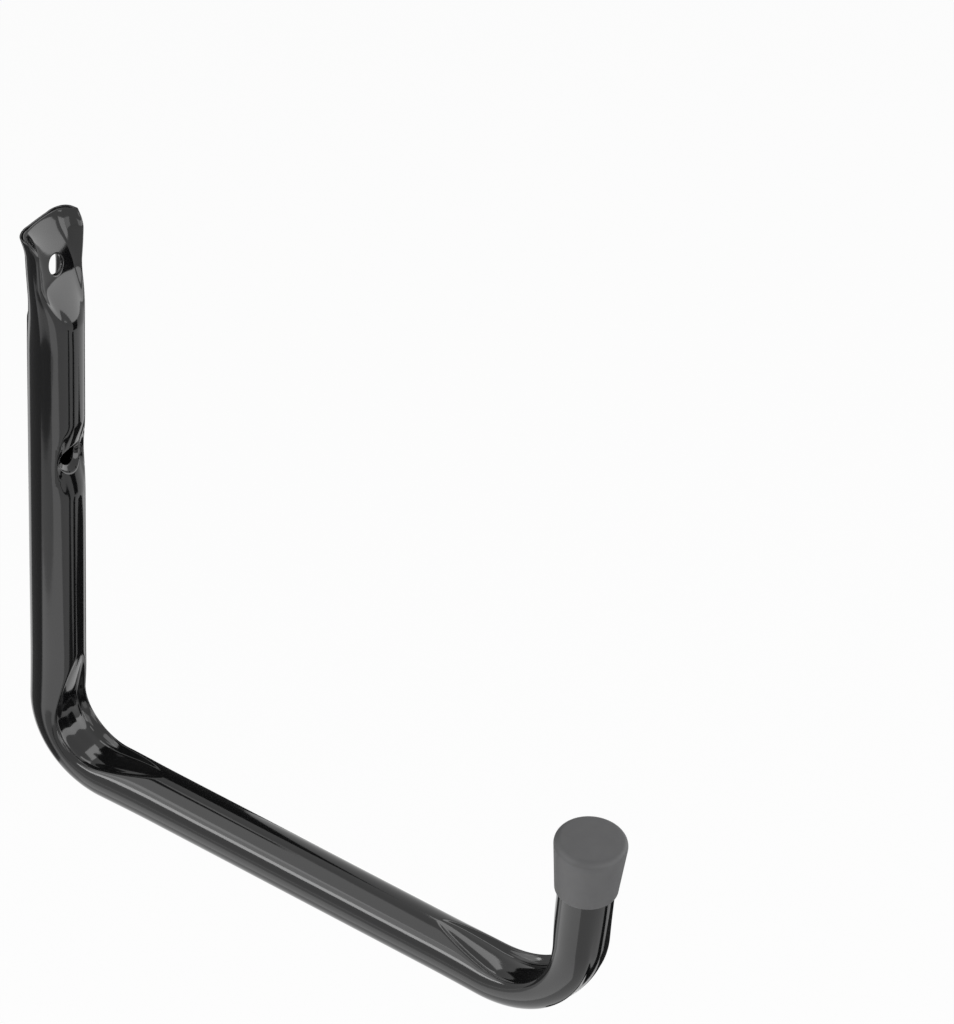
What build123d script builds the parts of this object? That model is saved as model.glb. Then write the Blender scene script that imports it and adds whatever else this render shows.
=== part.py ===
from build123d import *
from math import copysign, cos, pi, radians, sin, tan
import os

# Wall hook bent from one round steel tube, with a soft cap on its tip.
# Millimetres. The wall is the plane Y = 0 and the hook reaches out along -Y.
# The origin is on the wall, midway between the two screw holes. Z is up.

# Tube
tube_radius = 10.0
tube_wall = 1.1
reach = 229.0
arm_drop = 136.5
bend_radius = 25.5
tip_bend_radius = 37.0
tip_lean = 2.0
tip_rise = 80.0

# Screw holes
screw_spacing = 81.0
screw_hole_radius = 3.6
end_margin = 16.0

# Pressed top end, where the two walls meet
press_length = 50.0
press_floor = 14.0
press_valley = 5.6
press_widening = 5.2
back_valley = 6.0
rim_height = 8.4
rim_sharpness = 12
lobe_flare = 3.5
lobe_length = 4.5
end_rim = 1.6
end_height = 7.2
end_bluntness = 0.34
end_spread = 1.0
end_lobe_set = 1.0
end_web_set = 7.2
web_lift = 1.5
web_length = 30.0
web_clearance = 0.02

# Screw seat pressed into the front wall
seat_dent = 3.0
seat_dent_length = 17.0
seat_valley = 7.0
seat_radius = 6.1
seat_depth = 2.0

# Crush on the inside of the two bends
crush_depth = 8.0
crush_overrun = 23.0
crush_valley = 8.6
crush_fullness = 0.7
crush_flare = 1.1
heel_flat = 0.6
tip_heel_flat = 1.6

# Soft cap
cap_rim_radius = 11.1
cap_top_radius = 12.8
cap_height = 23.0
cap_floor = 2.6
cap_edge = 2.6
cap_dome = 0.8
cap_clearance = 0.1

# Derived places along the centre line, measured from the top end
top_end = screw_spacing / 2 + end_margin
arm_level = -screw_spacing / 2 - arm_drop
upper_hole_at = end_margin
seat_at = end_margin + screw_spacing
bend_start = top_end - arm_level - bend_radius
bend_end = bend_start + bend_radius * pi / 2
tip_turn = radians(90 - tip_lean)
tip_tangent = tip_bend_radius * tan(tip_turn / 2)
tip_bend_start = bend_end + reach - bend_radius - tip_tangent
tip_bend_end = tip_bend_start + tip_bend_radius * tip_turn

centre_line = FilletPolyline(
    (0, -tube_radius, top_end),
    (0, -tube_radius, arm_level),
    (0, -tube_radius - reach, arm_level),
    (0, -tube_radius - reach - tip_rise * tan(radians(tip_lean)), arm_level + tip_rise),
    radius=[bend_radius, tip_bend_radius],
)


def ease(value, start, end):
    """Go smoothly from 0 at start to 1 at end."""
    share = min(max((value - start) / (end - start), 0), 1)
    return share * share * (3 - 2 * share)


def swell(value, start, end):
    """Rise smoothly from 0 at start to 1 halfway and back to 0 at end."""
    middle = (start + end) / 2
    return ease(value, start, middle) - ease(value, middle, end)


def form_at(distance):
    """Give the outline's measures at a distance along the tube.

    They are the half width, the heights of the front and the back half, the
    level where the two halves meet, the levels of the front and back wall in
    the middle, the front valley's half width, and how blunt the corners are.
    Levels are measured from the centre line, front positive.
    """
    pressed = 1 - ease(distance, 0, press_length)
    closed = 1 - ease(distance, 0, lobe_length)
    web = web_lift - (end_web_set + web_lift) * max(1 - distance / web_length, 0) ** 2
    half_width = tube_radius + lobe_flare * pressed
    rim = tube_radius + (rim_height - tube_radius) * pressed
    front_height = rim + (end_rim - rim) * closed
    back_height = tube_radius + (end_height - tube_radius) * closed
    lobe_level = -end_lobe_set * closed
    half_web = tube_wall + web_clearance
    opened = ease(distance, upper_hole_at + press_floor, press_length)
    back_opened = ease(distance, upper_hole_at, press_length - press_floor)
    front = (web + half_web) * (1 - opened) + tube_radius * opened
    back = (web - half_web) * (1 - back_opened) - tube_radius * back_opened
    widened = 1 - ease(distance, upper_hole_at, press_length - press_floor)
    valley = press_valley + press_widening * widened + end_spread * closed
    bluntness = 1 - end_bluntness * closed
    dent = swell(distance, seat_at - seat_dent_length, seat_at + seat_dent_length)
    front -= seat_dent * dent
    valley += (seat_valley - press_valley) * dent
    for first, last, flat in (
        (bend_start, bend_end, heel_flat),
        (tip_bend_start, tip_bend_end, tip_heel_flat),
    ):
        crush = swell(distance, first - crush_overrun, last + crush_overrun)
        half_width += crush_flare * crush
        front -= crush_depth * crush**crush_fullness
        back += flat * crush
        if crush > 0:
            valley = max(crush_valley * crush ** (1 / 3), tube_wall)
    return half_width, front_height, back_height, lobe_level, front, back, valley, bluntness


def outline_point(form, angle):
    """Give a point of the outline, with angle 0 at the middle of the front."""
    half_width, front_height, back_height, lobe_level, front, back, valley, bluntness = form
    across = half_width * copysign(abs(sin(angle)) ** bluntness, sin(angle))
    facing = copysign(abs(cos(angle)) ** bluntness, cos(angle))
    if facing > 0:
        height, side, width = front_height, front - lobe_level, valley
    else:
        height, side, width = back_height, lobe_level - back, back_valley
    pinch = (1 - side / height) / (1 + (across / width) ** rim_sharpness)
    return Vector(across, lobe_level + height * facing * (1 - pinch))


def section(distance, inset=0.0):
    """Make the tube's cross-section at a distance, moved inward by inset."""
    form = form_at(distance)
    points = []
    for step in range(section_points):
        angle = 2 * pi * step / section_points
        along = outline_point(form, angle + 0.02) - outline_point(form, angle - 0.02)
        inward = Vector(along.Y, -along.X).normalized()
        points.append(outline_point(form, angle) + inward * inset)
    place = Plane(
        centre_line.position_at(distance, position_mode=PositionMode.LENGTH),
        x_dir=(1, 0, 0),
        z_dir=centre_line.tangent_at(distance, position_mode=PositionMode.LENGTH),
    )
    return place * make_face(Spline(*points, periodic=True))


def spread(start, end, count):
    """Give count + 1 evenly spaced distances from start to end."""
    return [start + (end - start) * step / count for step in range(count + 1)]


def run_through(places, inset=0.0):
    """Loft the tube through its sections at these distances."""
    return loft([section(place, inset) for place in places])


def tube_body(first_places, inset=0.0):
    """Join the pressed end, the screw seat, the two bends and the runs between."""
    seat_start = seat_at - seat_dent_length
    seat_end = seat_at + seat_dent_length
    crush_start = bend_start - crush_overrun
    crush_end = bend_end + crush_overrun
    tip_crush_start = tip_bend_start - crush_overrun
    tip_crush_end = tip_bend_end + crush_overrun
    body = run_through(first_places, inset)
    body += run_through([press_length, seat_start], inset)
    body += run_through(spread(seat_start, seat_end, 6), inset)
    body += run_through([seat_end, crush_start], inset)
    body += run_through(spread(crush_start, crush_end, 12), inset)
    body += run_through([crush_end, tip_crush_start], inset)
    body += run_through(spread(tip_crush_start, tip_crush_end, 12), inset)
    body += run_through([tip_crush_end, tube_length], inset)
    return body


section_points = 32
tube_length = centre_line.length
void_start = upper_hole_at + 2 * screw_hole_radius

# Outside of the tube, less the space inside it
lip_places = spread(0, lobe_length, 5) + spread(lobe_length, upper_hole_at, 4)[1:]
outside = tube_body(lip_places + spread(upper_hole_at, press_length, 10)[1:])
inside = tube_body(spread(void_start, press_length, 8), tube_wall)
tube = outside - inside

# Countersunk screw seat: a cup under the dented front wall
seat_centre = (0, -tube_radius, top_end - seat_at)
seat_floor = tube_radius - seat_dent - seat_depth
seat_spread = (seat_radius - screw_hole_radius) / seat_depth
seat_mouth = screw_hole_radius + seat_spread * (tube_radius - seat_floor)
seat_place = Plane(seat_centre, x_dir=(1, 0, 0), z_dir=(0, -1, 0))
cone_height = tube_radius - seat_floor
cup_drop = tube_wall * (1 + seat_spread**2) ** 0.5 / seat_spread
cone = Cone(screw_hole_radius, seat_mouth, cone_height, align=(Align.CENTER, Align.CENTER, Align.MIN))
cup = seat_place * Pos(0, 0, seat_floor - cup_drop) * cone
seat_cut = seat_place * Pos(0, 0, seat_floor) * cone
tube += cup & outside
tube -= seat_cut

# Screw holes, square to the wall
for hole_at in (upper_hole_at, seat_at):
    tube -= Pos(0, -tube_radius, top_end - hole_at) * Rot(90, 0, 0) * Cylinder(screw_hole_radius, 4 * tube_radius)

# Soft cap, turned about the tip of the tube
tip_place = Plane(
    centre_line.position_at(tube_length, position_mode=PositionMode.LENGTH),
    x_dir=(1, 0, 0),
    z_dir=centre_line.tangent_at(tube_length, position_mode=PositionMode.LENGTH),
)
cap_bore = tube_radius + cap_clearance
cap_skirt = cap_floor - cap_height
cap_middle = (0, cap_floor + cap_dome)
cap_flank = Polyline(cap_middle, (0, cap_skirt), (cap_rim_radius, cap_skirt), (cap_top_radius, cap_floor))
cap_roof = ThreePointArc((cap_top_radius, cap_floor), (cap_top_radius / 2, cap_floor + 0.75 * cap_dome), cap_middle)
cap_side = make_face(cap_flank + cap_roof)
cap_solid = revolve(Plane.XZ * cap_side, Axis.Z)
cap_solid = fillet(cap_solid.edges().filter_by(GeomType.CIRCLE).sort_by(SortBy.LENGTH)[-1], cap_edge)
cap = cap_solid - Pos(0, 0, cap_skirt / 2) * Cylinder(cap_bore, -cap_skirt)
cap = tip_place * cap

os.makedirs("parts", exist_ok=True)
export_step(tube, "parts/bent_tube.step")
export_step(cap, "parts/end_cap.step")
print("tube", tube.volume, len(tube.solids()), tube.is_valid, tube.bounding_box())
print("cap", cap.volume, len(cap.solids()), cap.is_valid, cap.bounding_box())
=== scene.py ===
"""Wall hook bent from one round steel tube, with a soft cap on its tip.

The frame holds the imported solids. This file gives the tube and the cap
their finished surfaces, their paint and vinyl, and a plain studio.
Lengths are metres. The wall is the plane Y = 0, the hook reaches out
along -Y, and the origin is midway between the two screw holes.
"""

from typing import NamedTuple

import bmesh
import bpy
import numpy as np
from bpy.props import FloatProperty, FloatVectorProperty, PointerProperty
from mathutils import Matrix, Vector


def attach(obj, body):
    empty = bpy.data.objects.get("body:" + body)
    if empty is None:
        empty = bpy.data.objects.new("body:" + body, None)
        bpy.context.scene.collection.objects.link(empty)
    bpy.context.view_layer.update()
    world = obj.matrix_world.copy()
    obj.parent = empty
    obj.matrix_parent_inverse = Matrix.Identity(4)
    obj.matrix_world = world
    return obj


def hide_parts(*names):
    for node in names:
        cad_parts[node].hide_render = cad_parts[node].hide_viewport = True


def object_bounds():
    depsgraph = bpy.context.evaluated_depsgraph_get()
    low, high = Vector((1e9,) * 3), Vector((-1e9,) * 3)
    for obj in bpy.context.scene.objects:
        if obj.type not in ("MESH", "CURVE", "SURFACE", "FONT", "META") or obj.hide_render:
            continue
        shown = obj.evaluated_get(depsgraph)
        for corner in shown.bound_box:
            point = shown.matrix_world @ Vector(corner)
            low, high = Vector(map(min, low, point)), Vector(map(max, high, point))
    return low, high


bl_info = {
    "name": "Tube wall hook",
    "version": (1, 0, 0),
    "blender": (4, 5, 0),
    "location": "View3D > Sidebar > Hook",
    "description": "Finished surfaces for a bent tube wall hook and its studio",
    "category": "Object",
}

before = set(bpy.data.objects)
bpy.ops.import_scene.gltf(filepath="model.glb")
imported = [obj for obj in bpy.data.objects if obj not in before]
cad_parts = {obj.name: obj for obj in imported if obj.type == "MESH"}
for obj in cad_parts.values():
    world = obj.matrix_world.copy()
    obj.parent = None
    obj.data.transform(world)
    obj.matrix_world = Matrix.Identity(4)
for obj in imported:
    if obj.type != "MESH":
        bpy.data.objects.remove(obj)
cad_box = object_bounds()
MM = 0.001


def linear(hex_colour):
    """Turn an sRGB hex colour into linear RGB."""
    code = hex_colour.lstrip("#")
    srgb = np.array([int(code[i : i + 2], 16) / 255 for i in (0, 2, 4)])
    rgb = np.where(srgb <= 0.04045, srgb / 12.92, ((srgb + 0.055) / 1.055) ** 2.4)
    return tuple(float(channel) for channel in rgb)


def length(name, millimetres, description):
    """Make a length property whose default is given in millimetres."""
    return FloatProperty(
        name=name,
        description=description,
        default=millimetres * MM,
        subtype="DISTANCE",
        unit="LENGTH",
        precision=5,
    )


def number(name, default, description):
    """Make a property for a plain number, such as a power or an angle."""
    return FloatProperty(name=name, description=description, default=default)


def colour(name, hex_colour, description):
    """Make a colour property whose default is given as sRGB hex."""
    return FloatVectorProperty(
        name=name,
        description=description,
        default=linear(hex_colour),
        subtype="COLOR",
        min=0.0,
        max=1.0,
    )


class HookTube(bpy.types.PropertyGroup):
    """Sizes of the bent tube."""

    radius: length("Radius", 10, "Outer radius of the tube")
    wall: length("Wall", 1.1, "Wall of the tube")
    reach: length("Reach", 229, "Between the axes of the wall arm and the tip")
    arm_drop: length("Arm drop", 136.5, "From the lower screw to the arm's axis")
    bend_radius: length("Bend radius", 25.5, "Centre line radius of the wall bend")
    tip_bend_radius: length("Tip bend radius", 37, "Centre line radius of the tip bend")
    tip_lean: number("Tip lean", 2.0, "Outward lean of the tip, in degrees")
    tip_rise: length("Tip rise", 80, "From the arm's axis up to the tube's end")
    screw_spacing: length("Screw spacing", 81, "Between the two screw holes")
    screw_hole: length("Screw hole", 3.6, "Radius of the screw holes")
    end_margin: length("End margin", 16, "From the upper screw to the top end")


class HookPressing(bpy.types.PropertyGroup):
    """Sizes of what the press and the bender leave on the tube."""

    press_length: length("Press length", 50, "From the end to where the tube is round")
    dish_foot: length("Dish foot", 39, "From the end to where the front wall is out again")
    thinning: length("Thinning", 0.35, "How much the press thins each wall")
    press_floor: length("Press floor", 3, "Level part of the dish below the screw")
    press_valley: length("Press valley", 5.6, "Half width of the dish at its foot")
    press_widening: length("Press widening", 5.2, "How much wider it is at the end")
    bowl: length("Bowl", 1.1, "How much the dish's floor rises to its sides")
    back_valley: length("Back valley", 6, "Half width of the hollow at the back")
    back_flat: length("Back flat", 2.2, "How much the back is flattened behind the screw")
    rim_height: length("Rim height", 8.4, "Half height of the sides of the dish")
    rim_sharpness: number("Rim sharpness", 12.0, "Power that steepens a valley's sides")
    lobe_flare: length("Lobe flare", 3.5, "How far each side spreads at the end")
    lobe_length: length("Lobe length", 6.5, "Over which the sides close to the end")
    end_rim: length("End rim", 1.6, "Height of the front half at the end")
    end_height: length("End height", 7.2, "Height of the back half at the end")
    end_bluntness: number("End bluntness", 0.34, "How square the end's corners are")
    end_spread: length("End spread", 1.3, "How much the dish spreads at the very end")
    end_lobe_set: length("Side set", 1, "How far the sides lie back at the end")
    end_web_set: length("Web set", 7.2, "How far the web lies back at the end")
    web_lift: length("Web lift", 1.5, "How far the web comes forward below the screw")
    web_length: length("Web length", 30, "Over which the web comes forward")
    web_clearance: length("Web clearance", 0.02, "Half the slit between the pressed walls")
    seat_dent: length("Seat dent", 3, "Depth of the dent round the lower screw")
    seat_dent_length: length("Seat dent length", 17, "Half length of that dent")
    seat_valley: length("Seat valley", 7, "Half width of that dent")
    seat_radius: length("Seat radius", 6.1, "Radius of the countersunk seat")
    seat_depth: length("Seat depth", 2, "Depth of the countersunk seat")
    crush_depth: length("Crush depth", 8, "Depth of the crushed inside of a bend")
    crush_overrun: length("Crush overrun", 23, "How far the crush runs past a bend")
    crush_valley: length("Crush valley", 8.6, "Half width of the crushed valley")
    crush_fullness: number("Crush fullness", 0.7, "Power that fills the valley's ends")
    crush_flare: length("Crush flare", 1.1, "How far each side spreads in a bend")
    wrinkle: length("Wrinkle", 0.05, "Depth of the long wrinkles in the crushed wall")
    wrinkle_pitch: length("Wrinkle pitch", 5.6, "From one wrinkle to the next")
    heel_flat: length("Heel flat", 0.6, "Flattening of the wall bend's outside")
    tip_heel_flat: length("Tip heel flat", 1.6, "Flattening of the tip bend's outside")


class HookCap(bpy.types.PropertyGroup):
    """Sizes of the soft cap."""

    rim_radius: length("Rim radius", 11.1, "Outer radius at the open rim")
    top_radius: length("Top radius", 12.8, "Outer radius below the top edge")
    height: length("Height", 23, "Rim to top")
    floor: length("Floor", 2.6, "Above the end of the tube")
    edge: length("Edge", 2.6, "Rounding of the top edge")
    dome: length("Dome", 0.8, "Rise of the top's middle")
    clearance: length("Clearance", 0.1, "Round the tube")


class HookColours(bpy.types.PropertyGroup):
    """Colours of the finishes."""

    paint: colour("Paint", "#0a0a0b", "Gloss black stoving paint")
    vinyl: colour("Vinyl", "#4a4a4b", "Dark grey moulded vinyl")
    floor: colour("Floor", "#f4f4f4", "Pale studio floor")


# The tube as a surface -------------------------------------------------


def ease(value, start, end):
    """Go smoothly from 0 at start to 1 at end, as 3t^2 - 2t^3."""
    share = np.clip((value - start) / (end - start), 0, 1)
    return share * share * (3 - 2 * share)


def swell(value, start, end):
    """Rise smoothly from 0 to 1 halfway from start to end, and back to 0."""
    middle = (start + end) / 2
    return ease(value, start, middle) - ease(value, middle, end)


class Form(NamedTuple):
    """The outline's measures at distances along the tube.

    Levels are measured from the centre line, front positive.
    """

    half_width: np.ndarray
    front_height: np.ndarray  # of the half oval in front of the sides' level
    back_height: np.ndarray  # of the half oval behind it
    lobe_level: np.ndarray  # where the two halves meet
    front: np.ndarray  # level of the front wall in the middle
    back: np.ndarray  # level of the back wall in the middle
    valley: np.ndarray  # half width of the valley in the front
    bowl: np.ndarray  # rise of the dish's floor to its sides
    bluntness: np.ndarray  # power on sine and cosine, 1 for an oval


class TubeSurface:
    """The tube's skin as a function of distance along it and angle round it.

    The distance starts at the top end. The angle is 0 at the middle of the
    front, which is the inside of both bends, and a quarter turn at +X.
    """

    def __init__(self, tube, press):
        self.tube = tube
        self.press = press
        quarter = np.pi / 2
        self.top_end = tube.screw_spacing / 2 + tube.end_margin
        self.arm_level = -tube.screw_spacing / 2 - tube.arm_drop
        self.upper_hole = tube.end_margin
        self.seat = tube.end_margin + tube.screw_spacing
        self.bend_start = self.top_end - self.arm_level - tube.bend_radius
        self.bend_end = self.bend_start + tube.bend_radius * quarter
        self.tip_turn = quarter - np.radians(tube.tip_lean)
        tangent = tube.tip_bend_radius * np.tan(self.tip_turn / 2)
        self.tip_start = self.bend_end + tube.reach - tube.bend_radius - tangent
        self.tip_end = self.tip_start + tube.tip_bend_radius * self.tip_turn
        tip_length = tube.tip_rise / np.cos(np.radians(tube.tip_lean))
        self.end = self.tip_end + tip_length - tangent
        # Where the back is flattest and where that fades, where the dish
        # starts to narrow, and where the back wall leaves the web and is round
        self.flat_full = 0.5 * self.upper_hole
        self.flat_fades = 0.48 * press.press_length
        self.dish_narrows = 1.12 * self.upper_hole
        self.back_parts = 1.2 * self.upper_hole
        self.back_round = 0.8 * press.press_length

    def line(self, distance):
        """Give the centre line's points and front directions.

        Straight runs add their length to one coordinate and each bend adds
        a quarter of a circle: radius times sine one way and radius times
        one minus cosine the other way.
        """
        tube = self.tube
        first = np.clip(distance - self.bend_start, 0, self.bend_end - self.bend_start)
        second = np.clip(distance - self.tip_start, 0, self.tip_end - self.tip_start)
        turn = first / tube.bend_radius
        tip = second / tube.tip_bend_radius
        drop = np.clip(distance, None, self.bend_start)
        out = np.clip(distance - self.bend_end, 0, self.tip_start - self.bend_end)
        rise = np.clip(distance - self.tip_end, 0, None)
        y = -tube.radius - tube.bend_radius * (1 - np.cos(turn)) - out
        y = y - tube.tip_bend_radius * np.sin(tip) - rise * np.cos(tip)
        z = self.top_end - drop - tube.bend_radius * np.sin(turn)
        z = z + tube.tip_bend_radius * (1 - np.cos(tip)) + rise * np.sin(tip)
        heading = turn + tip
        point = np.stack([np.zeros_like(y), y, z], axis=-1)
        front = np.stack([np.zeros_like(y), -np.cos(heading), np.sin(heading)], axis=-1)
        return point, front

    def form(self, distance):
        """Give the measures of the outline at a distance.

        Each is a plain round tube's measure plus what the press, the screw
        seat's dent and the two crushed bends add, all with smooth starts.
        In the pressed end the two walls, thinned by the press, lie against
        a web: its level is lift - (set + lift) (1 - distance / length)^2,
        and front and back are half a slit and one wall from it. The front
        wall is out again at the dish's foot, the back wall a little lower,
        and the back half is flattened behind the screw. The dish's floor is
        bowled as far as it is sunk. The sides close to the end by
        (1 - distance / length)^2. A bend's valley widens as the cube root
        of its crush, and its depth follows the crush to the fullness.
        """
        tube, press = self.tube, self.press
        radius = tube.radius
        pressed = 1 - ease(distance, 0, press.press_length)
        closed = np.clip(1 - distance / press.lobe_length, 0, 1) ** 2
        short = np.clip(1 - distance / press.web_length, 0, None)
        web = press.web_lift - (press.end_web_set + press.web_lift) * short**2
        half_web = tube.wall - press.thinning + press.web_clearance
        opened = ease(distance, self.upper_hole + press.press_floor, press.dish_foot)
        back_opened = ease(distance, self.back_parts, self.back_round)
        flat = ease(distance, 0, self.flat_full)
        flat = flat * (1 - ease(distance, self.flat_fades, press.press_length))
        half_width = radius + press.lobe_flare * pressed
        rim = radius + (press.rim_height - radius) * pressed
        front_height = rim + (press.end_rim - rim) * closed
        back_height = radius + (press.end_height - radius) * closed - press.back_flat * flat
        lobe_level = -press.end_lobe_set * closed
        front = (web + half_web) * (1 - opened) + radius * opened
        back = (web - half_web) * (1 - back_opened) - radius * back_opened
        reach = press.seat_dent_length
        dent = swell(distance, self.seat - reach, self.seat + reach)
        front = front - press.seat_dent * dent
        widened = 1 - ease(distance, self.dish_narrows, press.dish_foot)
        valley = press.press_valley + press.press_widening * widened + press.end_spread * closed
        valley = valley + (press.seat_valley - press.press_valley) * dent
        for first, last, heel in (
            (self.bend_start, self.bend_end, press.heel_flat),
            (self.tip_start, self.tip_end, press.tip_heel_flat),
        ):
            crush = swell(distance, first - press.crush_overrun, last + press.crush_overrun)
            half_width = half_width + press.crush_flare * crush
            front = front - press.crush_depth * crush**press.crush_fullness
            back = back + heel * crush
            leaf = np.maximum(press.crush_valley * np.cbrt(crush), tube.wall)
            valley = np.where(crush > 0, leaf, valley)
        bowl = press.bowl * (1 - opened)
        bluntness = 1 - press.end_bluntness * closed
        return Form(
            half_width, front_height, back_height, lobe_level, front, back, valley, bowl, bluntness
        )

    def seat_drop(self, distance, across):
        """Give the depth of the countersunk seat.

        It is a cone from the hole to the seat's radius, with its rim
        rounded by the soft maximum k log(1 + exp(x / k)).
        """
        press, hole = self.press, self.tube.screw_hole
        soft = 0.22 * MM
        inside_hole = 0.98 * hole
        largest_power = 40
        radial = np.maximum(np.hypot(across, distance - self.seat), inside_hole)
        slope = press.seat_depth / (press.seat_radius - hole)
        excess = np.clip((press.seat_radius - radial) / soft, -largest_power, largest_power)
        return slope * soft * np.log1p(np.exp(excess))

    def outline(self, distance, angle):
        """Give the outline's coordinates across and towards the front.

        Across is half width times sine, and the level is the sides' level
        plus the half's height times cosine. The sine and cosine are first
        raised to the bluntness, which squares the corners. The oval is then
        pinched in its middle by 1 / (1 + (across / valley)^sharpness) until
        it reaches the front and back levels, so that the sides stay open as
        lobes. The dish's floor rises to its sides by
        bowl (across / valley)^2. The screw seat's depth is taken off the
        front, and so are the crushed walls' waves, which are
        wrinkle pinch cos(2 pi across / pitch).
        """
        press, form = self.press, self.form(distance)
        sine, cosine = np.sin(angle), np.cos(angle)
        across = form.half_width * np.sign(sine) * np.abs(sine) ** form.bluntness
        facing = np.sign(cosine) * np.abs(cosine) ** form.bluntness
        is_front = cosine > 0
        height = np.where(is_front, form.front_height, form.back_height)
        width = np.where(is_front, form.valley, press.back_valley)
        floor = form.front - form.lobe_level + form.bowl * (across / width) ** 2
        side = np.where(is_front, floor, form.lobe_level - form.back)
        pinch = (1 - side / height) / (1 + np.abs(across / width) ** press.rim_sharpness)
        level = form.lobe_level + height * facing * (1 - pinch)
        level = level - np.where(is_front, self.seat_drop(distance, across), 0)
        is_crushed = is_front & (distance > self.bend_start - press.crush_overrun)
        wave = np.cos(2 * np.pi * across / press.wrinkle_pitch)
        level = level - press.wrinkle * np.where(is_crushed, pinch, 0) * wave
        return across, level

    def skin(self, distance, angle, inset=0.0):
        """Give points of the skin, moved inward by inset along the normal.

        The point is centre line + across X + level front, and the normal is
        square to the step between two near points of the outline.
        """
        distance, angle, inset = np.broadcast_arrays(distance, angle, inset)
        across, level = self.outline(distance, angle)
        step = 0.004
        ahead = self.outline(distance, angle + step)
        behind = self.outline(distance, angle - step)
        along = np.stack([ahead[0] - behind[0], ahead[1] - behind[1]])
        along = along / np.maximum(np.hypot(*along), 1e-12)
        across = across + inset * along[1]
        level = level - inset * along[0]
        point, front = self.line(distance)
        skin = point + front * level[..., None]
        skin[..., 0] += across
        return skin

    def angle_at(self, distance, across, is_back):
        """Give the angle whose point lies that far across.

        It is arcsin(across / half width), or half a turn less that at the
        back, where the outline isn't blunt.
        """
        half_width = self.form(distance).half_width
        angle = np.arcsin(np.clip(across / half_width, -1, 1))
        return np.pi - angle if is_back else angle


class Shell:
    """Collects points and faces of one closed mesh."""

    def __init__(self):
        self.points = []
        self.faces = []
        self.count = 0

    def add(self, points):
        """Add an array of points and return their numbers in its shape."""
        shape = points.shape[:-1]
        number = int(np.prod(shape))
        self.points.append(points.reshape(-1, 3))
        self.count += number
        return np.arange(self.count - number, self.count).reshape(shape)

    def cover(self, rows, keep=None):
        """Cover closed rows of points with faces, where keep is true."""
        after = np.roll(rows, -1, axis=1)
        quads = np.stack([rows[:-1], after[:-1], after[1:], rows[1:]], axis=-1)
        self.faces.append(quads[keep] if keep is not None else quads.reshape(-1, 4))

    def zip_up(self, row):
        """Close a row by joining each point to the one facing it."""
        half = len(row) // 2
        near = row[: half + 1]
        far = np.concatenate([row[:1], row[:half - 1:-1]])
        quads = np.stack([near[1:-2], near[2:-1], far[2:-1], far[1:-2]], axis=-1)
        self.faces.append(quads)
        self.faces.append(np.array([[near[0], near[1], far[1]], [near[-1], far[-2], near[-2]]]))

    def cap_off(self, row, point):
        """Close a row with triangles to one point."""
        middle = self.add(np.array(point, dtype=float).reshape(1, 3))[0]
        after = np.roll(row, -1)
        self.faces.append(np.stack([row, after, np.full_like(row, middle)], axis=-1))

    def mesh(self, name):
        """Make the mesh, smooth shaded, with every face outwards."""
        mesh = bpy.data.meshes.new(name)
        faces = [face for block in self.faces for face in block.tolist()]
        mesh.from_pydata(np.concatenate(self.points).tolist(), [], faces)
        work = bmesh.new()
        work.from_mesh(mesh)
        bmesh.ops.recalc_face_normals(work, faces=work.faces)
        work.to_mesh(mesh)
        work.free()
        mesh.shade_smooth()
        return mesh


def spread(*marks):
    """Give evenly spaced distances from mark to mark.

    The marks are distances, with the spacing to keep between each two.
    """
    runs = [
        np.linspace(start, end, max(int(round((end - start) / step)), 1), endpoint=False)
        for start, step, end in zip(marks[0:-1:2], marks[1::2], marks[2::2])
    ]
    return np.concatenate(runs + [marks[-1:]])


def hole_rings(surface, shell, skin, centre, radii, reach, is_back):
    """Open a round hole in a skin and return the ring of points at its edge.

    A window of the skin's cells is taken out and filled with rings. The
    rings are circles of the given radii round the hole, as
    (radius cos turn, centre + radius sin turn), and then blend to the
    window's edge as (1 - share) circle + share edge. The skin is given as
    its points' numbers, its distances and angles, the cells to keep and the
    inset from the tube's outside.
    """
    numbers, distances, angles, keep, inset = skin
    quarter = len(angles) // 4
    middle = 3 * quarter if is_back else quarter
    half_width = surface.form(distances).half_width
    row = np.searchsorted(distances, [centre - reach, centre + reach])
    first, last = int(row[0]) - 1, int(row[1])
    half = int(np.ceil(np.arcsin(reach / half_width[first]) / (angles[1] - angles[0])))
    offsets = np.arange(-half, half + 1)
    columns = middle - offsets if is_back else middle + offsets
    down = np.arange(first, last)
    rows = np.concatenate([
        np.full(2 * half, first),
        down,
        np.full(2 * half, last),
        down[::-1] + 1,
    ])
    sides = np.concatenate([
        columns[:-1],
        np.full(len(down), columns[-1]),
        columns[:0:-1],
        np.full(len(down), columns[0]),
    ])
    edge_across = half_width[rows] * np.sin(angles[sides])
    edge_along = distances[rows] - centre
    turn = np.arctan2(edge_along, edge_across)
    circles = np.array(radii)[:, None]
    across = circles * np.cos(turn)
    along = circles * np.sin(turn)
    share = np.array([0.3, 0.62])[:, None]
    across = np.concatenate([across, (1 - share) * across[-1:] + share * edge_across])
    along = np.concatenate([along, (1 - share) * along[-1:] + share * edge_along])
    place = surface.angle_at(centre + along, across, is_back)
    rings = shell.add(surface.skin(centre + along, place, inset))
    shell.cover(np.concatenate([rings, numbers[rows, sides][None]]))
    keep[first:last, columns.min() : columns.max()] = False
    return rings[0]


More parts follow.
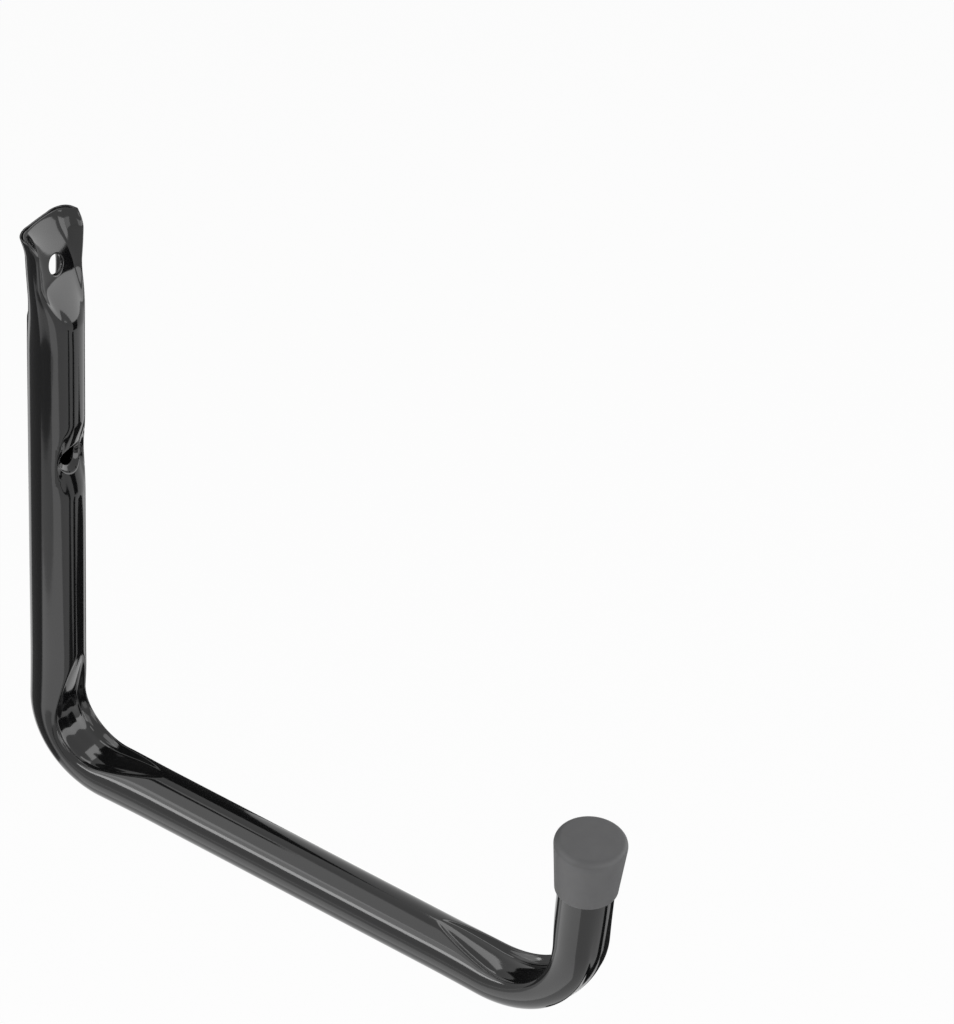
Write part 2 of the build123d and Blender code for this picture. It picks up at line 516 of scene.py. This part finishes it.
def hole_wall(shell, near, far, centre, radius, soften):
    """Join two rings through a hole with a straight wall and soft edges.

    The wall's points are radius from the hole's axis, and each edge has a
    point a third of the way round its softening.
    """
    points = np.concatenate(shell.points)
    rows = []
    step = np.sign(points[far, 1].mean() - points[near, 1].mean())
    for ring, way, shares in ((near, step, (0.3, 1.0)), (far, -step, (1.0, 0.3))):
        offset = points[ring][:, [0, 2]] - np.array([0, centre])
        offset = offset / np.hypot(*offset.T)[:, None]
        for share in shares:
            reach = radius + soften * (1 - share) ** 2
            row = np.empty((len(ring), 3))
            row[:, [0, 2]] = np.array([0, centre]) + offset * reach
            row[:, 1] = points[ring, 1] + way * soften * share
            rows.append(row)
    wall = shell.add(np.stack(rows))
    shell.cover(np.concatenate([near[None], wall, far[None]]))


def tube_mesh(tube, press):
    """Give the bent tube's mesh: its skin, its inside, its ends and holes."""
    surface = TubeSurface(tube, press)
    shell = Shell()
    columns = 160
    angles = -np.pi / 2 + 2 * np.pi * np.arange(columns) / columns
    wall, overrun = tube.wall, press.crush_overrun
    seat_start = surface.seat - press.seat_dent_length
    seat_end = surface.seat + press.seat_dent_length
    fine, coarse = 0.75 * MM, 8 * MM
    rim_depth = 0.3 * MM

    def stations(start, press_step, bend_step):
        """Give distances from start to the tip, closer where the form changes."""
        return spread(
            start, press_step, press.press_length, coarse, seat_start, fine, seat_end, coarse,
            surface.bend_start - overrun, bend_step, surface.bend_end + overrun, coarse,
            surface.tip_start - overrun, bend_step, surface.tip_end + overrun, coarse, surface.end,
        )

    distances = stations(rim_depth, fine, fine)
    skin = shell.add(surface.skin(distances[:, None], angles[None, :]))
    keep = np.ones((len(distances) - 1, columns), dtype=bool)

    # The cut end: a softened rim, and the slit between the pressed walls. Each
    # row is a distance and a depth in the wall, in mm, for a wall of rim_wall
    rim_wall = 1.1
    rim = np.array([
        [0.09, 0.09], [0.0, 0.3], [0.0, 0.7], [0.09, 0.92], [0.3, 1.05], [0.5, 1.05], [0.7, 1.05],
    ])
    depth = rim[:, 1:] * (wall - press.thinning) / rim_wall
    rim_rows = shell.add(surface.skin(rim[:, :1] * MM, angles[None, :], depth))
    shell.cover(np.concatenate([skin[:1], rim_rows]))
    shell.zip_up(rim_rows[-1])

    # The inside, from where the walls part to the tip
    inner = stations(surface.upper_hole + 2 * tube.screw_hole, 2 * fine, 3 * fine)
    lining = shell.add(surface.skin(inner[:, None], angles[None, :], wall))
    inner_keep = np.ones((len(inner) - 1, columns), dtype=bool)
    shell.zip_up(lining[0])
    shell.cover(np.stack([skin[-1], lining[-1]]))

    # Screw holes, with rings closer together where the form changes
    outside = (skin, distances, angles, keep, 0.0)
    inside = (lining, inner, angles, inner_keep, wall)
    hole, soften = tube.screw_hole, 0.25 * MM
    upper, upper_z = surface.upper_hole, surface.top_end - surface.upper_hole
    seat, seat_z = surface.seat, surface.top_end - surface.seat
    rings = [hole + out for out in (soften, 0.7 * MM, 1.3 * MM)]
    seat_rings = [hole + out for out in (soften, 0.6 * MM, 1.1 * MM, 1.6 * MM, 2.1 * MM)]
    seat_rings += [press.seat_radius + out * MM for out in (-0.4, -0.2, 0.0, 0.2, 0.45, 0.8, 1.4)]
    reach, seat_reach = hole + 2.2 * MM, press.seat_radius + 2.4 * MM
    front = hole_rings(surface, shell, outside, upper, rings, reach, False)
    back = hole_rings(surface, shell, outside, upper, rings, reach, True)
    hole_wall(shell, front, back, upper_z, hole, soften)
    front = hole_rings(surface, shell, outside, seat, seat_rings, seat_reach, False)
    cup = hole_rings(surface, shell, inside, seat, seat_rings, seat_reach, False)
    hole_wall(shell, front, cup, seat_z, hole, soften)
    back = hole_rings(surface, shell, outside, seat, rings, reach, True)
    lining_edge = hole_rings(surface, shell, inside, seat, rings, reach, True)
    hole_wall(shell, back, lining_edge, seat_z, hole, soften)

    shell.cover(skin, keep)
    shell.cover(lining, inner_keep)
    return shell.mesh("bent_tube_skin")


# The cap as a surface --------------------------------------------------


def arc(centre, radius, start, end, count):
    """Give points of an arc in a profile, from start to end in degrees.

    They are centre + radius (cosine, sine) of evenly spaced turns.
    """
    turn = np.radians(np.linspace(start, end, count))
    return np.array(centre) + radius * np.stack([np.cos(turn), np.sin(turn)], axis=-1)


def cap_mesh(tube, press, cap):
    """Give the soft cap's mesh: a profile turned about the tip's axis.

    A profile point (radius, height) becomes
    tip + radius (cos turn across + sin turn front) + height along. The
    roof's height falls from the dome's middle as (radius / top radius)^2,
    and it is moved to meet the rounded edge.
    """
    surface = TubeSurface(tube, press)
    point, front = surface.line(np.array([surface.end]))
    before = surface.line(np.array([surface.end - MM]))[0]
    along = (point - before)[0] / MM
    bore, skirt = tube.radius + cap.clearance, cap.floor - cap.height
    lip, well_edge, columns = 0.5 * MM, 0.8 * MM, 128
    edge_turn, dip, crown = 84, 0.05 * cap.dome, 0.02 * cap.dome
    lean = np.degrees(np.arctan2(cap.top_radius - cap.rim_radius, cap.height))
    corner = (cap.top_radius - cap.edge, cap.floor - cap.edge)
    radius = np.linspace(cap.top_radius - cap.edge, 0, 12)[1:-1]
    roof = np.stack([radius, cap.floor + cap.dome * (1 - (radius / cap.top_radius) ** 2)], axis=-1)
    inner_edge = arc((bore + lip, skirt + lip), lip, 180, 270, 5)
    outer_edge = arc((cap.rim_radius - lip, skirt + lip), lip, 270, 360 - lean, 6)
    top_edge = arc(corner, cap.edge, -lean, edge_turn, 14)
    flank_height = np.linspace(0, 1, 14)[1:-1, None]
    flank_run = (1 - flank_height) * outer_edge[-1] + flank_height * top_edge[0]
    roof[:, 1] += top_edge[-1, 1] - roof[0, 1] - dip + dip * (radius / radius[0]) ** 2
    well = np.array([[bore, -well_edge], [bore - well_edge, 0.0], [0.5 * bore, 0.0]])
    profile = np.concatenate([well[::-1], inner_edge, outer_edge, flank_run, top_edge, roof])
    turn = 2 * np.pi * np.arange(columns) / columns
    shell = Shell()
    across = np.array([1.0, 0.0, 0.0])
    ring = np.cos(turn)[:, None] * across + np.sin(turn)[:, None] * front[0]
    rows = point[0] + profile[:, None, :1] * ring + profile[:, None, 1:] * along
    numbers = shell.add(rows)
    shell.cover(numbers)
    shell.cap_off(numbers[0], point[0])
    shell.cap_off(numbers[-1], point[0] + along * (profile[-1, 1] + crown))
    return shell.mesh("soft_cap_skin")


# Finishes --------------------------------------------------------------


def add_node(tree, kind, sockets=None, **settings):
    """Add a node with its settings, and values or links for its sockets."""
    made = tree.nodes.new(kind)
    for name, value in settings.items():
        setattr(made, name, value)
    for name, value in (sockets or {}).items():
        if isinstance(value, bpy.types.NodeSocket):
            tree.links.new(value, made.inputs[name])
        else:
            made.inputs[name].default_value = value
    return made


def new_material(name):
    """Make an empty node material and give it with its node tree."""
    material = bpy.data.materials.new(name)
    material.use_nodes = True
    material.node_tree.nodes.clear()
    return material, material.node_tree


def stoved_gloss_paint(colours):
    """Gloss black stoving paint, sprayed on the bent steel and baked.

    The eye sees near black with sharp, mirror-like reflections that shimmer
    slightly, because baked paint keeps a faint orange peel 3 mm across and
    has flowed in slow swells about 17 mm long.
    """
    peel_scale, flow_scale = 330.0, 60.0  # per metre
    material, tree = new_material("stoved_gloss_black_paint")
    place = add_node(tree, "ShaderNodeTexCoord").outputs["Object"]
    peel = add_node(
        tree, "ShaderNodeTexNoise", {"Vector": place, "Scale": peel_scale, "Detail": 2.0}
    )
    flow = add_node(
        tree, "ShaderNodeTexNoise", {"Vector": place, "Scale": flow_scale, "Detail": 1.0}
    )
    fine = add_node(
        tree,
        "ShaderNodeBump",
        {"Height": peel.outputs["Fac"], "Strength": 0.35, "Distance": 0.02 * MM},
    )
    slow = add_node(
        tree,
        "ShaderNodeBump",
        {
            "Height": flow.outputs["Fac"],
            "Strength": 0.5,
            "Distance": 0.08 * MM,
            "Normal": fine.outputs["Normal"],
        },
    )
    shader = add_node(
        tree,
        "ShaderNodeBsdfPrincipled",
        {
            "Base Color": (*colours.paint, 1.0),
            "Roughness": 0.09,
            "IOR": 1.5,
            "Normal": slow.outputs["Normal"],
        },
    )
    add_node(tree, "ShaderNodeOutputMaterial", {"Surface": shader.outputs["BSDF"]})
    return material


def moulded_vinyl(colours):
    """Soft dark grey PVC, moulded as a cap that is pushed on the tube.

    The eye sees a matte, slightly waxy grey with a fine grain about 0.4 mm
    across and faint mottling of 6 mm, a seventh darker or lighter.
    """
    grain_scale, mottle_scale, contrast = 2500.0, 180.0, 0.14  # scales per metre
    dark = [(1 - contrast) * channel for channel in colours.vinyl]
    light = [(1 + contrast) * channel for channel in colours.vinyl]
    material, tree = new_material("moulded_soft_vinyl")
    place = add_node(tree, "ShaderNodeTexCoord").outputs["Object"]
    mottle = add_node(
        tree, "ShaderNodeTexNoise", {"Vector": place, "Scale": mottle_scale, "Detail": 3.0}
    )
    grain = add_node(
        tree, "ShaderNodeTexNoise", {"Vector": place, "Scale": grain_scale, "Detail": 2.0}
    )
    shade = add_node(
        tree,
        "ShaderNodeMix",
        {"Factor": mottle.outputs["Fac"], "A": (*dark, 1.0), "B": (*light, 1.0)},
        data_type="RGBA",
    )
    bump = add_node(
        tree,
        "ShaderNodeBump",
        {"Height": grain.outputs["Fac"], "Strength": 0.4, "Distance": 0.05 * MM},
    )
    shader = add_node(
        tree,
        "ShaderNodeBsdfPrincipled",
        {
            "Base Color": shade.outputs["Result"],
            "Roughness": 0.55,
            "IOR": 1.53,
            "Normal": bump.outputs["Normal"],
        },
    )
    add_node(tree, "ShaderNodeOutputMaterial", {"Surface": shader.outputs["BSDF"]})
    return material


def seen_as_backdrop(tree):
    """Give 1 where a ray shows the backdrop: camera, glossy and see-through rays."""
    path = add_node(tree, "ShaderNodeLightPath")
    rays = [path.outputs[f"Is {kind} Ray"] for kind in ("Camera", "Glossy", "Transmission")]
    either = add_node(tree, "ShaderNodeMath", {0: rays[0], 1: rays[1]}, operation="MAXIMUM")
    any_ray = {0: either.outputs[0], 1: rays[2]}
    return add_node(tree, "ShaderNodeMath", any_ray, operation="MAXIMUM").outputs[0]


def pale_floor(colours):
    """Pale matte studio floor, shown nearly as bright as the backdrop.

    The eye sees white with a faint trace of the hook's shadow.
    """
    backdrop_share = 0.93
    material, tree = new_material("pale_studio_floor")
    factors = {0: seen_as_backdrop(tree), 1: backdrop_share}
    share = add_node(tree, "ShaderNodeMath", factors, operation="MULTIPLY")
    matte = add_node(tree, "ShaderNodeBsdfDiffuse", {"Color": (*colours.floor, 1.0)})
    bright = add_node(tree, "ShaderNodeEmission", {"Color": (1.0, 1.0, 1.0, 1.0), "Strength": 1.0})
    mixed = add_node(tree, "ShaderNodeMixShader", {"Fac": share.outputs[0]})
    tree.links.new(matte.outputs[0], mixed.inputs[1])
    tree.links.new(bright.outputs[0], mixed.inputs[2])
    add_node(tree, "ShaderNodeOutputMaterial", {"Surface": mixed.outputs[0]})
    return material


# The studio ------------------------------------------------------------

floor_drop, floor_half_width = 0.25, 6.0
floor_level = cad_box[0].z - floor_drop

# Name, azimuth, elevation, distance, width, height and power of the lamps
# that the gloss paint mirrors as pale bands
SOFT_BOXES = (
    ("left_strip_box", -117, 12, 1.6, 1.2, 0.28, 7.0),
    ("left_soft_box", -119, 27, 1.6, 1.2, 0.55, 4.0),
    ("top_soft_box", -150, 50, 1.6, 1.5, 1.1, 5.6),
    ("low_soft_box", -95, -50, 0.36, 0.45, 0.24, 0.28),
    ("front_soft_box", -46, 12, 1.6, 1.0, 0.8, 3.6),
    ("high_soft_box", 0, 48, 1.6, 0.6, 0.4, 1.6),
    ("right_soft_box", 105, 55, 1.4, 0.6, 0.4, 2.0),
    ("near_dish_box", -8, 12, 1.5, 1.0, 0.8, 6.8),
    ("far_dish_box", 48, 8, 1.5, 1.5, 0.7, 8.0),
)

# Name, middle, side, rise and grey of the cards that it mirrors as dark ones
CARDS = (
    ("card_behind", (0.25, 0.48, -0.135), (0.0, 0.45, 0.0), (0.0, 0.0, 0.295), 0.05),
    ("card_back_left", (-0.32, 0.46, floor_level + 0.01), (0.34, 0.0, 0.0), (0.0, 0.3, 0.0), 0.25),
    ("card_left", (-0.62, -0.015, floor_level + 0.01), (0.22, 0.0, 0.0), (0.0, 0.175, 0.0), 0.28),
    ("card_right", (0.32, -0.22, floor_level + 0.01), (0.12, 0.0, 0.0), (0.0, 0.14, 0.0), 0.03),
    ("card_front_right", (0.375, -0.66, -0.26), (0.104, 0.06, 0.0), (0.0, 0.0, 0.17), 0.03),
    ("card_in_front", (0.15, -0.39, floor_level + 0.03), (0.035, 0.014, 0), (0.08, -0.2, 0), 0.02),
)


def place_object(name, data):
    """Put a new object with this data in the scene."""
    made = bpy.data.objects.new(name, data)
    bpy.context.scene.collection.objects.link(made)
    return made


def soft_box(name, azimuth, elevation, away, width, height, power):
    """Hang a soft box that faces the hook.

    It hangs at middle + away (sin azimuth cos elevation,
    -cos azimuth cos elevation, sin elevation), so azimuth 0 is in front of
    the hook and 90 at +X. Angles are degrees, sizes metres, power watts.
    """
    lamp = bpy.data.lights.new(name, "AREA")
    lamp.shape = "RECTANGLE"
    lamp.size, lamp.size_y = width, height
    lamp.energy = power
    made = place_object(name, lamp)
    turn, lift = np.radians(azimuth), np.radians(elevation)
    way = Vector((np.sin(turn) * np.cos(lift), -np.cos(turn) * np.cos(lift), np.sin(lift)))
    middle = Vector((0.0, -0.12, -0.08))
    facing = way.to_track_quat("Z", "Y").to_matrix().to_4x4()
    made.matrix_world = Matrix.Translation(middle + way * away) @ facing
    made.visible_camera = False


def stage_sheet(name, middle, side, rise, material):
    """Set a flat sheet in the studio, which isn't part of the hook.

    It is a parallelogram with corners middle +- side +- rise, where side
    and rise are its half width and half height as vectors, in metres.
    """
    middle, side, rise = Vector(middle), Vector(side), Vector(rise)
    signs = ((-1, -1), (1, -1), (1, 1), (-1, 1))
    sheet = bpy.data.meshes.new(name)
    sheet.from_pydata([middle + a * side + b * rise for a, b in signs], [], [(0, 1, 2, 3)])
    sheet.materials.append(material)
    made = place_object(name, sheet)
    return made


def card(name, middle, side, rise, grey):
    """Set a matte grey card that only shows in reflections."""
    material, tree = new_material(name)
    matte = add_node(tree, "ShaderNodeBsdfDiffuse", {"Color": (grey, grey, grey, 1.0)})
    add_node(tree, "ShaderNodeOutputMaterial", {"Surface": matte.outputs[0]})
    made = stage_sheet(name, middle, side, rise, material)
    made.visible_camera = made.visible_diffuse = made.visible_shadow = False


def photo_camera():
    """Set the camera where the photograph was taken from."""
    lens = bpy.data.cameras.new("photo_camera")
    lens.sensor_width = 36.0
    lens.lens = 218.2
    lens.clip_end = 50.0
    camera = place_object("photo_camera", lens)
    right = Vector((0.584496, -0.810575, 0.036505))
    up = Vector((0.495988, 0.392533, 0.774541))
    back = Vector((-0.642153, -0.434610, 0.631469))
    turned = Matrix((right, up, back)).transposed()
    camera.matrix_world = Matrix.Translation((-1.3203, -1.0823, 1.3202)) @ turned.to_4x4()
    bpy.context.scene.camera = camera


def studio_world():
    """White surroundings: white where the camera looks, soft light elsewhere."""
    soft_light = 0.25
    white = (1.0, 1.0, 1.0, 1.0)
    world = bpy.data.worlds.new("studio_world")
    world.use_nodes = True
    tree = world.node_tree
    tree.nodes.clear()
    strength = add_node(
        tree,
        "ShaderNodeMapRange",
        {"Value": seen_as_backdrop(tree), "To Min": soft_light, "To Max": 1.0},
    )
    light = add_node(
        tree, "ShaderNodeBackground", {"Color": white, "Strength": strength.outputs[0]}
    )
    add_node(tree, "ShaderNodeOutputWorld", {"Surface": light.outputs[0]})
    bpy.context.scene.world = world


# Operators -------------------------------------------------------------


def stand_for(mesh, node, material):
    """Make a piece that replaces a node and rides on the hook's body."""
    mesh.materials.append(material)
    piece = place_object(mesh.name.replace("_skin", "_finished"), mesh)
    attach(piece, "root")
    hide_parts(node)


class HOOK_OT_bent_tube(bpy.types.Operator):
    """Make the bent steel tube with its pressed end, seat and crushed bends."""

    bl_idname = "hook.bent_tube"
    bl_label = "Bent tube"

    def execute(self, context):
        scene = context.scene
        mesh = tube_mesh(scene.hook_tube, scene.hook_pressing)
        stand_for(mesh, "bent_tube", stoved_gloss_paint(scene.hook_colours))
        return {"FINISHED"}


class HOOK_OT_soft_cap(bpy.types.Operator):
    """Make the soft cap on the upturned tip."""

    bl_idname = "hook.soft_cap"
    bl_label = "Soft cap"

    def execute(self, context):
        scene = context.scene
        mesh = cap_mesh(scene.hook_tube, scene.hook_pressing, scene.hook_cap)
        stand_for(mesh, "end_cap", moulded_vinyl(scene.hook_colours))
        return {"FINISHED"}


class HOOK_OT_studio(bpy.types.Operator):
    """Set up the floor, the soft boxes, the cards, the surroundings and the camera."""

    bl_idname = "hook.studio"
    bl_label = "Studio"

    def execute(self, context):
        across = (floor_half_width, 0.0, 0.0)
        along = (0.0, floor_half_width, 0.0)
        material = pale_floor(context.scene.hook_colours)
        stage_sheet("studio_floor", (0.0, 0.0, floor_level), across, along, material)
        for box in SOFT_BOXES:
            soft_box(*box)
        for sheet in CARDS:
            card(*sheet)
        photo_camera()
        studio_world()
        context.scene.view_settings.view_transform = "Standard"
        return {"FINISHED"}


class HOOK_PT_panel(bpy.types.Panel):
    """The hook's pieces and their sizes."""

    bl_label = "Tube wall hook"
    bl_idname = "HOOK_PT_panel"
    bl_space_type = "VIEW_3D"
    bl_region_type = "UI"
    bl_category = "Hook"

    def draw(self, context):
        layout = self.layout
        for operator in (HOOK_OT_bent_tube, HOOK_OT_soft_cap, HOOK_OT_studio):
            layout.operator(operator.bl_idname)
        for group in groups:
            box = layout.box()
            sizes = getattr(context.scene, group)
            for name in sizes.__annotations__:
                box.prop(sizes, name)


groups = {
    "hook_tube": HookTube,
    "hook_pressing": HookPressing,
    "hook_cap": HookCap,
    "hook_colours": HookColours,
}
classes = (*groups.values(), HOOK_OT_bent_tube, HOOK_OT_soft_cap, HOOK_OT_studio, HOOK_PT_panel)


def register():
    """Register the classes and give each scene its sizes and colours."""
    for made in classes:
        bpy.utils.register_class(made)
    for name, group in groups.items():
        setattr(bpy.types.Scene, name, PointerProperty(type=group))


def unregister():
    """Take the sizes, the colours and the classes away again."""
    for name in groups:
        delattr(bpy.types.Scene, name)
    for made in reversed(classes):
        bpy.utils.unregister_class(made)


def main():
    register()
    bpy.ops.hook.bent_tube()
    bpy.ops.hook.soft_cap()
    bpy.ops.hook.studio()


if __name__ == "__main__":
    main()
